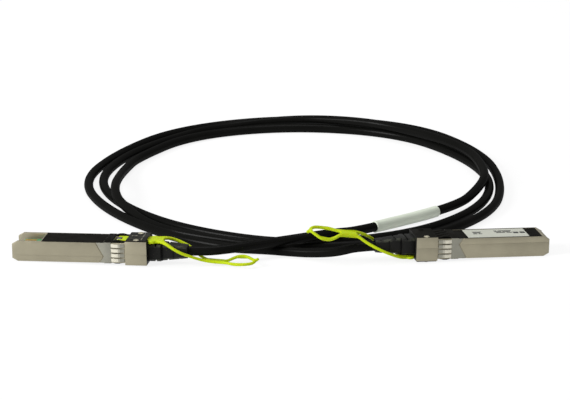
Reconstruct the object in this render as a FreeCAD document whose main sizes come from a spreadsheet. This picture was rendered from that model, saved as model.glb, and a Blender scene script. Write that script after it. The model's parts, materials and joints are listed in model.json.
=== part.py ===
"""A direct attach copper cable: two pluggable metal plugs on one coiled cable.

The row frame is in millimetres, with +Z up from the surface that it all lies on, and +Y towards the coil.
Each plug is modelled in a frame of its own: X from its mating end to its rear, Y across it, Z from its
label face to its latch face. Plug a lies on its label face and plug b on its latch face.
"""

import FreeCAD, Part
import Sketcher
import math
import os

from FreeCAD import Placement, Rotation, Vector

SIZES = (
    # the plug's outline
    ("body_width", 13.2, "width of the plain body"),
    ("body_height", 8.5, "label face to latch face"),
    ("panel_proud", 0.25, "how far a side panel stands out of the body"),
    ("panel_gap", 0.4, "tip of the side panel's arrow end, before the collar"),
    ("panel_latch_slope", 3.2, "length of the arrow end towards the latch face"),
    ("panel_label_slope", 1.8, "length of the arrow end towards the label face"),
    ("nose_chamfer_long", 2.3, "length of the mating end's chamfers"),
    ("nose_chamfer_high", 1.3, "height of the mating end's chamfers"),
    ("stop_face", 47.5, "front of the rear block, which stops the plug in its cage"),
    ("block_length", 9.0, "length of the rear block"),
    ("block_width", 13.9, "width of the rear block"),
    ("block_drop", 0.8, "rear block below the label face"),
    ("block_rise", 0.7, "rear block above the latch face"),
    ("side_wall", 0.9, "thickness of the shells' side walls"),
    ("floor_wall", 1.0, "thickness of the label side"),
    ("roof_wall", 0.9, "thickness of the latch side"),
    ("front_seam", 2.6, "seam between the shells, from the label face"),
    ("cable_axis", 3.8, "cable's axis and the rear block's seam, from the label face"),
    ("mouth_length", 12.0, "opening of the latch side over the card's edge"),
    ("wire_space", 7.7, "length of the low space for the wires"),
    ("end_wall", 1.0, "wall between that space and the rear block"),
    ("wire_space_top", 5.6, "roof of the low space for the wires"),
    # the card
    ("card_front", 3.2, "card's edge, behind the mating end"),
    ("card_rear_gap", 0.3, "clearance behind the card"),
    ("card_tongue_width", 9.2, "width of the card's edge"),
    ("card_tongue_end", 12.6, "where the card widens"),
    ("card_thickness", 1.0, "thickness of the card"),
    ("card_bottom", 5.25, "card's label side face, from the label face"),
    ("card_gap", 0.1, "clearance beside the card"),
    ("rail_width", 1.0, "width of the rails that the card lies on"),
    ("rail_front", 14.0, "front of the rails"),
    ("post_inset", 5.0, "front of the posts, before the card's rear edge"),
    ("post_length", 3.0, "length of the posts under the card"),
    ("pad_length", 4.8, "length of a contact pad"),
    ("pad_width", 0.5, "width of a contact pad"),
    ("pad_pitch", 0.8, "pitch of the contact pads"),
    ("pad_thickness", 0.06, "thickness of a contact pad"),
    ("pad_setback", 0.4, "card's edge to the pads"),
    ("chip_side", 4.0, "side of the memory chip"),
    ("chip_height", 0.9, "height of the memory chip"),
    ("chip_front", 24.0, "front of the memory chip"),
    ("capacitor_length", 1.2, "length of a capacitor"),
    ("capacitor_width", 0.7, "width and height of a capacitor"),
    ("capacitor_front", 17.0, "front of the capacitors"),
    ("capacitor_pitch", 1.6, "pitch of the capacitors"),
    # the cable's end
    ("cable_diameter", 4.0, "outer diameter of the cable"),
    ("fit_gap", 0.05, "clearance of a fixed fit"),
    ("ferrule_wall", 0.35, "wall of the crimp ferrule"),
    ("ferrule_inset", 6.5, "front of the crimp ferrule, before the rear face"),
    ("ferrule_length", 4.8, "length of the crimp ferrule"),
    ("wire_diameter", 0.9, "diameter of a conductor with its insulation"),
    ("wire_overlap", 3.5, "length of the conductors on the card"),
    ("wire_pitch", 1.0, "pitch of the two conductors of a pair"),
    ("pair_cable_place", 1.0, "a pair's middle from the cable's axis, in the cable"),
    ("pair_card_place", 2.1, "a pair's middle from the plug's middle, on the card"),
    ("flange_length", 1.4, "length of the boot's flange in the rear block"),
    ("flange_width", 8.0, "width of the boot's flange"),
    ("flange_half", 2.3, "half height of the boot's flange"),
    ("boot_width", 9.0, "width of the boot's square part"),
    ("boot_height", 7.2, "height of the boot's square part"),
    ("boot_square", 5.9, "length of the boot's square part"),
    ("boot_taper", 10.3, "length of the boot's tapered part"),
    ("boot_shoulder", 7.0, "width across the taper where it starts"),
    ("boot_tip", 5.2, "width across the taper at its tip"),
    ("slot_width", 0.7, "width of a flex slot"),
    ("slot_pitch", 2.45, "pitch of the flex slots"),
    ("slot_web", 0.75, "boot left beside the cable at a flex slot"),
    ("corner_cut", 1.0, "chamfer along the boot's edges"),
    # the collar
    ("collar_length", 8.9, "front of the spring collar, before the stop face"),
    ("collar_band", 3.0, "length of the collar's plain band"),
    ("sheet_thickness", 0.2, "thickness of the collar's sheet"),
    ("finger_bulge", 0.45, "how far a finger bulges out of the band"),
    ("finger_gap", 0.3, "clearance between the fingers and the rear block"),
    ("finger_width", 1.5, "width of a side finger"),
    ("finger_pitch", 2.05, "pitch of the side fingers"),
    ("broad_finger_width", 2.2, "width of a finger on the broad faces"),
    ("broad_finger_pitch", 2.9, "pitch of the fingers on the label face"),
    # the latch
    ("channel_width", 6.5, "width of the channel for the slider"),
    ("channel_reach", 5.6, "front of the channel, before the stop face"),
    ("channel_lip", 0.9, "rise of the channel's floor, before the stop face"),
    ("channel_front_floor", 5.95, "channel floor before the step"),
    ("channel_rear_floor", 6.45, "channel floor behind the step"),
    ("pawl_width", 2.6, "width of the latch"),
    ("boss_gap", 0.5, "clearance before the latch's boss in the channel"),
    ("boss_length", 2.6, "length of the latch's boss"),
    ("boss_height", 0.45, "boss above the latch face"),
    ("arm_top", 7.6, "top of the latch's arm"),
    ("arm_bottom", 6.75, "underside of the latch's arm at the boss"),
    ("arm_rear_bottom", 7.0, "underside of the latch's arm in the rear block"),
    ("ramp_lead", 0.2, "front of the latch's ramp, before the stop face"),
    ("ramp_length", 3.2, "length of the latch's ramp"),
    ("ramp_rise", 0.41, "height of the latch's ramp"),
    ("pivot_inset", 3.0, "latch's pivot, before the rear face"),
    ("pivot_up", 7.45, "latch's pivot, from the label face"),
    ("eye_radius", 0.8, "outer radius of the latch's eye"),
    ("pin_radius", 0.5, "radius of the latch's pin"),
    ("pin_length", 8.0, "length of the latch's pin"),
    ("running_gap", 0.03, "clearance of the latch on its pin"),
    ("spring_thickness", 0.15, "thickness of the leaf spring"),
    ("spring_width", 2.2, "width of the leaf spring"),
    ("cover_thickness", 0.35, "thickness of the latch's cover plate"),
    ("cover_inset", 0.35, "cover plate inside the rear block's edges"),
    ("rib_height", 0.12, "height of the cover plate's pressed ribs"),
    ("rib_width", 1.0, "width of the cover plate's pressed ribs"),
    ("rivet_inset", 4.5, "rivets, before the rear face"),
    ("rivet_edge", 1.65, "rivets' middles, inside the rear block's sides"),
    ("rivet_radius", 0.85, "radius of a rivet's shank"),
    ("rivet_head_radius", 1.25, "radius of a rivet's head"),
    ("rivet_head", 0.4, "height of a rivet's head"),
    # the films
    ("film_thickness", 0.1, "thickness of a film or a label"),
    ("film_width", 12.6, "width of the films"),
    ("film_front", 3.0, "front of the label side's film"),
    ("film_gap", 0.3, "rear of the films, before the collar"),
    ("roof_film_front", 12.4, "front of the latch side's film"),
    ("label_front", 8.4, "front of the white label"),
    ("label_length", 25.9, "length of the white label"),
    ("label_width", 11.6, "width of the white label"),
    # the pull tab
    ("slider_width", 6.2, "width of the slider"),
    ("slider_bottom", 8.0, "underside of the slider's rails"),
    ("slider_thickness", 0.8, "thickness of the slider's rails"),
    ("rail_inside", 1.75, "slider's middle to the inside of a rail"),
    ("horn_length", 1.9, "length of the slider's horns, before its nose"),
    ("nose_length", 2.0, "length of the slider's nose, before the ramp"),
    ("nose_bottom", 7.65, "underside of the slider's nose"),
    ("window_wall", 1.7, "slider behind its window, inside the rear block"),
    ("strap_thickness", 1.1, "thickness of the strap"),
    ("strap_width", 1.2, "width of a strand of the strap"),
    ("neck_end", 5.0, "end of the strap's flat neck, from the rear face"),
    ("leg_spread", 5.6, "strap's middle to the middle of a leg"),
    ("band_start", 24.5, "where the legs join, from the rear face"),
    ("band_end", 33.0, "where the finger loop starts, from the rear face"),
    ("band_width", 4.4, "width where the legs are joined"),
    ("band_drop_a", 4.1, "strap a from the cable's axis to the label side, where the legs are joined"),
    ("band_drop_b", 5.4, "strap b from the cable's axis to the label side, where the legs are joined"),
    ("loop_drop_a", -0.6, "strap a further to the label side, at the end of its finger loop"),
    ("loop_drop_b", 2.8, "strap b further to the label side, at the end of its finger loop"),
    ("loop_end", 46.5, "end of the finger loop, from the rear face"),
    ("loop_width", 8.6, "width of the finger loop"),
    ("nib_length", 1.2, "length of the nib on the finger loop"),
    # the cable and how the plugs lie
    ("plug_a_x", -54.1, "rear of plug a, in the row frame"),
    ("plug_a_y", -5.6, "rear of plug a, in the row frame"),
    ("plug_a_turn", -9.2, "heading of plug a, in degrees"),
    ("plug_b_x", 54.3, "rear of plug b, in the row frame"),
    ("plug_b_y", -0.6, "rear of plug b, in the row frame"),
    ("plug_b_turn", 11.4, "heading of plug b, in degrees"),
    ("exit_run", 22.0, "straight run of the cable behind a plug"),
    ("coil_x", 5.6, "middle of the coil, in the row frame"),
    ("coil_y", 111.1, "middle of the coil, in the row frame"),
    ("sleeve_length", 36.0, "length of the sleeve"),
    ("sleeve_wall", 0.35, "wall of the sleeve"),
)

# How the cable lies between plug a and the coil: x, y and height in the row frame. It crosses over the
# front of the turns, and the sleeve holds its last run straight.
LEAD_FROM_A = (
    (-22.4, -7.5, 6.1), (-10.9, -1.8, 6.3), (4.0, 6.0, 6.3), (21.5, 12.6, 7.5), (32.8, 31.1, 2.5),
    (74.2, 71.3, 2.5),
)

# The coil's three turns: degrees round from its right, radius and height of the cable's axis. The
# first turn lies inside, climbs over the second at the right, rides on it and comes down outside it at
# the far side. The second climbs over the first at the left.
TURNS = (
    (
        (-15, 82.5, 4.8), (0, 85.2, 6.5), (30, 89.7, 6.4), (60, 94.2, 6.5), (75, 95.5, 6.6),
        (90, 101.4, 4.4), (105, 102.5, 2.2), (120, 97.3, 2.0), (150, 88.4, 2.0), (180, 86.9, 2.0),
        (210, 84.5, 2.0), (240, 89.4, 2.0),
    ),
    (
        (-90, 101.0, 2.0), (-60, 98.8, 2.0), (-30, 91.6, 2.0), (0, 88.2, 2.0), (30, 88.2, 2.0),
        (60, 96.9, 2.0), (90, 97.1, 2.0), (120, 94.0, 2.0), (150, 81.5, 2.0), (165, 77.9, 2.2),
        (180, 76.9, 4.4), (195, 81.4, 6.9), (210, 86.4, 5.4), (225, 90.0, 2.2), (240, 95.8, 2.0),
    ),
    (
        (-90, 104.9, 2.0), (-60, 106.4, 2.0), (-30, 98.9, 2.0), (0, 91.9, 2.0), (30, 98.4, 2.0),
        (60, 114.2, 2.0), (90, 113.9, 2.0), (120, 105.2, 2.0), (150, 92.6, 2.0), (180, 93.6, 2.0),
        (210, 93.6, 2.0), (240, 102.0, 2.0), (255, 107.0, 2.0),
    ),
)

# How the cable lies between the coil and plug b.
LEAD_TO_B = ((-6.4, 5.9, 2.0), (4.6, 2.5, 2.3), (12.6, -0.9, 3.3), (22.1, -4.3, 4.8))


class Size:
    """A length worked out from the sheet: the expression for the document, and its value now."""

    def __init__(self, text, value):
        self.text = text
        self.value = value

    def __add__(self, other):
        other = size(other)
        return Size(f"({self.text} + {other.text})", self.value + other.value)

    def __sub__(self, other):
        other = size(other)
        return Size(f"({self.text} - {other.text})", self.value - other.value)

    def __mul__(self, other):
        other = size(other)
        return Size(f"({self.text} * {other.text})", self.value * other.value)

    def __truediv__(self, other):
        other = size(other)
        return Size(f"({self.text} / {other.text})", self.value / other.value)

    def __radd__(self, other):
        return size(other) + self

    def __rsub__(self, other):
        return size(other) - self

    def __rmul__(self, other):
        return size(other) * self

    def __neg__(self):
        return self * -1


def size(number):
    """A plain number as a Size, and a Size as it is."""
    return number if isinstance(number, Size) else Size(str(number), float(number))


class Sheet:
    """The driving sizes, in a spreadsheet of the document and as attributes of this object."""

    def __init__(self, document, rows):
        cells = document.addObject("Spreadsheet::Sheet", "Sizes")
        for number, (name, value, note) in enumerate(rows, start=1):
            cells.set(f"A{number}", name)
            cells.set(f"B{number}", str(value))
            cells.setAlias(f"B{number}", name)
            cells.set(f"C{number}", note)
            setattr(self, name, Size(f"Sizes.{name}", float(value)))


doc = FreeCAD.newDocument("direct_attach_cable")
s = Sheet(doc, SIZES)
doc.recompute()

# Places along the plug, from its mating end: those of the rear block hang on its two ends.
rear_face = s.stop_face + s.block_length
collar_front = s.stop_face - s.collar_length
finger_end = s.stop_face - s.finger_gap
panel_tip = collar_front - s.panel_gap
panel_latch_end = panel_tip - s.panel_latch_slope
panel_label_end = panel_tip - s.panel_label_slope
film_rear = collar_front - s.film_gap
wire_space_end = s.stop_face - s.end_wall
card_space_end = wire_space_end - s.wire_space
card_rear = card_space_end - s.card_rear_gap
post_front = card_rear - s.post_inset
wire_card_end = card_rear - s.wire_overlap
ferrule_front = rear_face - s.ferrule_inset
flange_front = rear_face - s.flange_length
channel_front = s.stop_face - s.channel_reach
channel_step = s.stop_face - s.channel_lip
boss_front = channel_front + s.boss_gap
ramp_front = s.stop_face - s.ramp_lead
nose_front = ramp_front - s.nose_length
horn_front = nose_front - s.horn_length
window_end = rear_face - s.window_wall
pivot_along = rear_face - s.pivot_inset
rivet_along = rear_face - s.rivet_inset

# Sizes that several pieces share.
half_body = s.body_width / 2
half_block = s.block_width / 2
rivet_across = half_block - s.rivet_edge
panel_width = s.body_width + 2 * s.panel_proud
inner_width = s.body_width - 2 * s.side_wall
roof_inside = s.body_height - s.roof_wall
block_top = s.body_height + s.block_rise
card_top = s.card_bottom + s.card_thickness
cable_radius = s.cable_diameter / 2
cable_bore = cable_radius + s.fit_gap
ferrule_radius = cable_bore + s.ferrule_wall
ferrule_rear = ferrule_front + s.ferrule_length
boss_top = s.body_height + s.boss_height
cover_top = block_top + s.cover_thickness

PLANES = {"XY": "XY_Plane", "XZ": "XZ_Plane", "YZ": "YZ_Plane"}


class Piece:
    """One sub-part: a PartDesign body built from pads and pockets of drawn outlines."""

    def __init__(self, label):
        self.body = doc.addObject("PartDesign::Body", label)
        self.body.Label = label

    def drawn(self, name, plane, start):
        """An empty sketch on one of the body's planes, moved along the plane's axis to start."""
        sketch = self.body.newObject("Sketcher::SketchObject", f"{self.body.Label}_{name}_sketch")
        origin = next(f for f in self.body.Origin.OriginFeatures if f.Role == PLANES[plane])
        sketch.AttachmentSupport = (origin, [""])
        sketch.MapMode = "FlatFace"
        along = -size(start) if plane == "XZ" else size(start)  # the XZ plane faces -Y
        sketch.setExpression("AttachmentOffset.Base.z", along.text)
        return sketch

    def polygon(self, name, plane, corners, start=0):
        """A closed outline of straight lines, with each corner tied to the sheet."""
        sketch = self.drawn(name, plane, start)
        corners = [(size(u), size(v)) for u, v in corners]
        count = len(corners)
        for here, there in zip(corners, corners[1:] + corners[:1]):
            ends = [Vector(u.value, v.value, 0) for u, v in (here, there)]
            sketch.addGeometry(Part.LineSegment(*ends), False)
        for line in range(count):
            sketch.addConstraint(Sketcher.Constraint("Coincident", line, 2, (line + 1) % count, 1))
        for line, (u, v) in enumerate(corners):
            self.dimension(sketch, "DistanceX", line, 1, u)
            self.dimension(sketch, "DistanceY", line, 1, v)
        return sketch

    def circles(self, name, plane, centres, radius, start=0):
        """Equal circles at the given centres."""
        sketch = self.drawn(name, plane, start)
        radius = size(radius)
        for number, (u, v) in enumerate(centres):
            u, v = size(u), size(v)
            sketch.addGeometry(Part.Circle(Vector(u.value, v.value, 0), Vector(0, 0, 1), radius.value), False)
            self.dimension(sketch, "DistanceX", number, 3, u)
            self.dimension(sketch, "DistanceY", number, 3, v)
            index = sketch.addConstraint(Sketcher.Constraint("Radius", number, radius.value))
            sketch.setExpression(f"Constraints[{index}]", radius.text)
        return sketch

    @staticmethod
    def dimension(sketch, kind, geometry, point, length):
        """A distance of a point from the sketch's origin, tied to the sheet."""
        if length.value == 0 and "Sizes" not in length.text:
            axis = -2 if kind == "DistanceX" else -1
            sketch.addConstraint(Sketcher.Constraint("PointOnObject", geometry, point, axis))
            return
        index = sketch.addConstraint(Sketcher.Constraint(kind, -1, 1, geometry, point, length.value))
        sketch.setExpression(f"Constraints[{index}]", length.text)

    def feature(self, kind, name, sketch, plane, length, centred):
        made = self.body.newObject(f"PartDesign::{kind}", f"{self.body.Label}_{name}")
        made.Profile = sketch
        made.setExpression("Length", size(length).text)
        if centred:
            made.SideType = "Symmetric"
        else:
            made.Reversed = (plane == "XZ") == (kind == "Pad")
        sketch.Visibility = False
        return made

    def pad(self, name, plane, corners, length, start=0, centred=False):
        sketch = self.polygon(name, plane, corners, start)
        return self.feature("Pad", name, sketch, plane, length, centred)

    def cut(self, name, plane, corners, length, start=0, centred=False):
        sketch = self.polygon(name, plane, corners, start)
        return self.feature("Pocket", name, sketch, plane, length, centred)

    def pad_round(self, name, plane, centres, radius, length, start=0, centred=False):
        sketch = self.circles(name, plane, centres, radius, start)
        return self.feature("Pad", name, sketch, plane, length, centred)

    def cut_round(self, name, plane, centres, radius, length, start=0, centred=False):
        sketch = self.circles(name, plane, centres, radius, start)
        return self.feature("Pocket", name, sketch, plane, length, centred)


def rectangle(low_u, high_u, low_v, high_v):
    return ((low_u, low_v), (high_u, low_v), (high_u, high_v), (low_u, high_v))


def around(middle, width, low, high):
    """A rectangle that spans width about middle, and low to high the other way."""
    return rectangle(middle - width / 2, middle + width / 2, low, high)


# ---- the shells


def rear_holes(piece):
    """The bore for the ferrule, the seat of the boot's flange and the rivets' holes in a shell."""
    piece.cut_round("ferrule_bore", "YZ", [(0, s.cable_axis)], ferrule_radius + s.fit_gap,
                    rear_face - wire_space_end, start=wire_space_end)
    piece.cut("flange_seat", "YZ",
              rectangle(-s.flange_width / 2 - s.fit_gap, s.flange_width / 2 + s.fit_gap,
                        s.cable_axis - s.flange_half - s.fit_gap, s.cable_axis + s.flange_half + s.fit_gap),
              rear_face - flange_front + s.fit_gap, start=flange_front - s.fit_gap)
    piece.cut_round("rivet_holes", "XY", [(rivet_along, rivet_across), (rivet_along, -rivet_across)],
                    s.rivet_radius + s.fit_gap, block_top + s.block_drop, start=-s.block_drop)


def bottom_shell(label):
    """The tray of the label side: floor, low walls, its half of the rear block and the card's posts."""
    piece = Piece(label)
    piece.pad("tray", "XZ",
              ((0, s.nose_chamfer_high), (s.nose_chamfer_long, 0), (s.stop_face, 0),
               (s.stop_face, s.front_seam), (0, s.front_seam)), s.body_width, centred=True)
    piece.pad("panels", "XZ",
              ((0, s.nose_chamfer_high), (s.nose_chamfer_long, 0), (panel_label_end, 0),
               (panel_tip, s.front_seam), (0, s.front_seam)), panel_width, centred=True)
    piece.pad("block", "XZ", rectangle(s.stop_face, rear_face, -s.block_drop, s.cable_axis),
              s.block_width, centred=True)
    piece.cut("hollow", "XZ", rectangle(0, wire_space_end, s.floor_wall, s.front_seam),
              inner_width, centred=True)
    piece.cut("label_seat", "XZ",
              rectangle(s.film_front - s.fit_gap, film_rear + s.fit_gap, 0, 2 * s.film_thickness),
              s.film_width + 2 * s.fit_gap, centred=True)
    post_outside = inner_width / 2 - s.card_gap
    for side in (-1, 1):
        piece.pad("post" + ("_far" if side > 0 else "_near"), "XY",
                  rectangle(post_front, post_front + s.post_length,
                            side * post_outside, side * (post_outside - s.rail_width)),
                  s.card_bottom - s.floor_wall, start=s.floor_wall)
    rear_holes(piece)
    return piece.body


def top_shell(label):
    """The cover of the latch side: walls, roof with its mouth, rails for the card and the channel."""
    piece = Piece(label)
    piece.pad("cover", "XZ",
              ((0, s.front_seam), (s.stop_face, s.front_seam), (s.stop_face, s.body_height),
               (s.nose_chamfer_long, s.body_height), (0, s.body_height - s.nose_chamfer_high)),
              s.body_width, centred=True)
    piece.pad("panels", "XZ",
              ((0, s.front_seam), (panel_tip, s.front_seam), (panel_latch_end, s.body_height),
               (s.nose_chamfer_long, s.body_height), (0, s.body_height - s.nose_chamfer_high)),
              panel_width, centred=True)
    piece.pad("block", "XZ", rectangle(s.stop_face, rear_face, s.cable_axis, block_top),
              s.block_width, centred=True)
    piece.cut("hollow", "XZ",
              ((0, s.front_seam), (wire_space_end, s.front_seam), (wire_space_end, s.wire_space_top),
               (card_space_end, s.wire_space_top), (card_space_end, roof_inside),
               (s.mouth_length, roof_inside), (s.mouth_length, s.body_height), (0, s.body_height)),
              inner_width, centred=True)
    for side in (-1, 1):
        piece.pad("rail" + ("_far" if side > 0 else "_near"), "XY",
                  rectangle(s.rail_front, card_space_end,
                            side * inner_width / 2, side * (inner_width / 2 - s.rail_width)),
                  roof_inside - card_top, start=card_top)
    piece.cut("film_seat", "XZ",
              rectangle(s.roof_film_front - s.fit_gap, film_rear + s.fit_gap,
                        s.body_height - s.film_thickness, s.body_height),
              s.film_width + 2 * s.fit_gap, centred=True)
    piece.cut("channel", "XZ",
              ((channel_front, s.channel_front_floor), (channel_step, s.channel_front_floor),
               (channel_step, s.channel_rear_floor), (rear_face, s.channel_rear_floor),
               (rear_face, block_top), (channel_front, block_top)), s.channel_width, centred=True)
    rear_holes(piece)
    piece.cut_round("pin_hole", "XZ", [(pivot_along, s.pivot_up)], s.pin_radius + s.running_gap,
                    s.pin_length, centred=True)
    return piece.body


# ---- the card and the cable's end


def paddle_card(label):
    piece = Piece(label)
    half_tongue = s.card_tongue_width / 2
    half_card = inner_width / 2 - s.card_gap
    piece.pad("board", "XY",
              ((s.card_front, -half_tongue), (s.card_tongue_end, -half_tongue),
               (s.card_tongue_end, -half_card), (card_rear, -half_card), (card_rear, half_card),
               (s.card_tongue_end, half_card), (s.card_tongue_end, half_tongue),
               (s.card_front, half_tongue)), s.card_thickness, start=s.card_bottom)
    return piece.body


def boxes(label, corners, length, width, height):
    """Equal boxes at the given corners, as one group of separate solids."""
    made = []
    for number, corner in enumerate(corners, start=1):
        box = doc.addObject("Part::Box", f"{label}_{number}")
        box.setExpression("Length", size(length).text)
        box.setExpression("Width", size(width).text)
        box.setExpression("Height", size(height).text)
        for axis, place in zip("xyz", corner):
            box.setExpression(f"Placement.Base.{axis}", size(place).text)
        made.append(box)
    group = doc.addObject("Part::Compound", label)
    group.Label = label
    group.Links = made
    return group


def contact_pads(label):
    """Ten pads on each face of the card's edge."""
    front = s.card_front + s.pad_setback
    corners = []
    for face in (s.card_bottom - s.pad_thickness, card_top):
        for number in range(10):
            corners.append((front, (number - 4.5) * s.pad_pitch - s.pad_width / 2, face))
    return boxes(label, corners, s.pad_length, s.pad_width, s.pad_thickness)


def eeprom_chip(label):
    return boxes(label, [(s.chip_front, -s.chip_side / 2, card_top)], s.chip_side, s.chip_side, s.chip_height)


def capacitors(label):
    """The four coupling capacitors in a row across the card."""
    corners = [
        (s.capacitor_front, (number - 1.5) * s.capacitor_pitch - s.capacitor_width / 2, card_top)
        for number in range(4)
    ]
    return boxes(label, corners, s.capacitor_length, s.capacitor_width, s.capacitor_width)


def signal_wires(label):
    """Two twin-axial pairs, each an oval in its foil, from the cable to the label side of the card."""
    radius = s.wire_diameter.value / 2
    half = s.wire_pitch.value / 2
    pairs = []
    for side in (-1, 1):
        start = Vector(ferrule_front.value - 4 * s.fit_gap.value, side * s.pair_cable_place.value,
                       s.cable_axis.value)
        end = Vector(wire_card_end.value, side * s.pair_card_place.value,
                     s.card_bottom.value - radius - s.fit_gap.value)
        corners = [start + Vector(0, y, z) for y, z in ((half, radius), (half, -radius), (-half, -radius),
                                                        (-half, radius))]
        rounds = [Part.Arc(a, start + Vector(0, y, 0), b).toShape()
                   for a, y, b in ((corners[0], half + radius, corners[1]),
                                   (corners[2], -half - radius, corners[3]))]
        oval = Part.Wire([rounds[0], line(corners[1], corners[2]), rounds[1], line(corners[3], corners[0])])
        pairs.append(Part.Face(oval).extrude(end - start))
    wires = doc.addObject("Part::Feature", label)
    wires.Label = label
    wires.Shape = Part.makeCompound(pairs)
    return wires


def tube(label, outer, inner, length):
    """A plain tube that stands on the origin."""
    made = []
    for name, radius in (("outside", outer), ("inside", inner)):
        cylinder = doc.addObject("Part::Cylinder", f"{label}_{name}")
        cylinder.setExpression("Radius", size(radius).text)
        cylinder.setExpression("Height", size(length).text)
        made.append(cylinder)
    cut = doc.addObject("Part::Cut", label)
    cut.Label = label
    cut.Base, cut.Tool = made
    return cut


def crimp_ferrule(label):
    """The ferrule, turned along the cable inside a carrier that the plug's placement can move."""
    ferrule = tube(f"{label}_tube", ferrule_radius, cable_bore, s.ferrule_length)
    ferrule.Placement = Placement(Vector(), Rotation(Vector(0, 1, 0), 90))
    ferrule.setExpression("Placement.Base.x", ferrule_front.text)
    ferrule.setExpression("Placement.Base.z", s.cable_axis.text)
    carrier = doc.addObject("Part::Compound", label)
    carrier.Label = label
    carrier.Links = [ferrule]
    return carrier


def chamfered(half_width, half_height, cut):
    """The outline of a square part with chamfered edges, round the cable's axis."""
    low, high = s.cable_axis - half_height, s.cable_axis + half_height
    return ((-half_width + cut, low), (half_width - cut, low), (half_width, low + cut),
            (half_width, high - cut), (half_width - cut, high), (-half_width + cut, high),
            (-half_width, high - cut), (-half_width, low + cut))


def cable_boot(label):
    """The strain relief: flange, square part with a groove, and a taper with flex slots."""
    piece = Piece(label)
    rear = rear_face
    square_end = rear + s.boot_square
    tip = square_end + s.boot_taper
    piece.pad("flange", "YZ",
              rectangle(-s.flange_width / 2, s.flange_width / 2,
                        s.cable_axis - s.flange_half, s.cable_axis + s.flange_half),
              rear - flange_front, start=flange_front)
    piece.pad("square", "YZ", chamfered(s.boot_width / 2, s.boot_height / 2, s.corner_cut),
              s.boot_square, start=rear)
    taper = piece.body.newObject("PartDesign::AdditiveLoft", f"{label}_taper")
    shoulder, end = s.boot_shoulder / 2, s.boot_tip / 2
    taper.Profile = piece.polygon("taper_start", "YZ", chamfered(shoulder, shoulder, s.corner_cut),
                                  square_end)
    taper.Sections = [piece.polygon("taper_end", "YZ", chamfered(end, end, s.corner_cut), tip)]
    taper.Ruled = True
    wide = s.boot_width
    kept = cable_radius + s.slot_web
    for number in range(5):
        start = rear + s.boot_square * 0.5 + number * s.slot_pitch
        across = number % 2 == 0
        middle = s.cable_axis if across else size(0)
        for side in (-1, 1):
            corners = rectangle(start, start + s.slot_width, middle + side * kept, middle + side * wide)
            name = f"slot_{number + 1}" + ("_far" if side > 0 else "_near")
            piece.cut(name, "XZ" if across else "XY", corners, 2 * wide,
                      start=0 if across else s.cable_axis, centred=True)
    piece.cut_round("bore", "YZ", [(0, s.cable_axis)], cable_bore, tip - flange_front, start=flange_front)
    return piece.body


# ---- the spring collar


def strip(label, plane, corners, width, start):
    """A strip of sheet with the given side view, drawn on a plane and extruded along its axis."""
    corners = [(size(u), size(v)) for u, v in corners]
    sketch = doc.addObject("Sketcher::SketchObject", f"{label}_sketch")
    turn = {"XY": Rotation(), "XZ": Rotation(Vector(1, 0, 0), 90), "YZ": Rotation(Vector(1, 1, 1), 120)}
    sketch.Placement = Placement(Vector(), turn[plane])
    along = {"XY": "z", "XZ": "y", "YZ": "x"}[plane]
    sketch.setExpression(f"Placement.Base.{along}", size(start).text)
    count = len(corners)
    for here, there in zip(corners, corners[1:] + corners[:1]):
        ends = [Vector(u.value, v.value, 0) for u, v in (here, there)]
        sketch.addGeometry(Part.LineSegment(*ends), False)
    for line in range(count):
        sketch.addConstraint(Sketcher.Constraint("Coincident", line, 2, (line + 1) % count, 1))
    for line, (u, v) in enumerate(corners):
        Piece.dimension(sketch, "DistanceX", line, 1, u)
        Piece.dimension(sketch, "DistanceY", line, 1, v)
    made = doc.addObject("Part::Extrusion", label)
    made.Base = sketch
    made.DirMode = "Custom"
    made.Dir = {"XY": Vector(0, 0, 1), "XZ": Vector(0, 1, 0), "YZ": Vector(1, 0, 0)}[plane]
    made.setExpression("LengthFwd", size(width).text)
    made.Solid = True
    return made


def finger_profile(surface, side):
    """The side view of one finger, bulging out of a surface: X against the distance from the middle."""
    root = collar_front + s.collar_band
    run = finger_end - root
    sheet = s.sheet_thickness
    steps = ((0, 0), (0.28, 1), (0.55, 1), (0.88, 0.1), (1, 0.1))
    inside = [(root + share * run, surface + side * bulge * s.finger_bulge) for share, bulge in steps]
    outside = [(x, level + side * sheet) for x, level in reversed(inside)]
    return inside + outside


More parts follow.
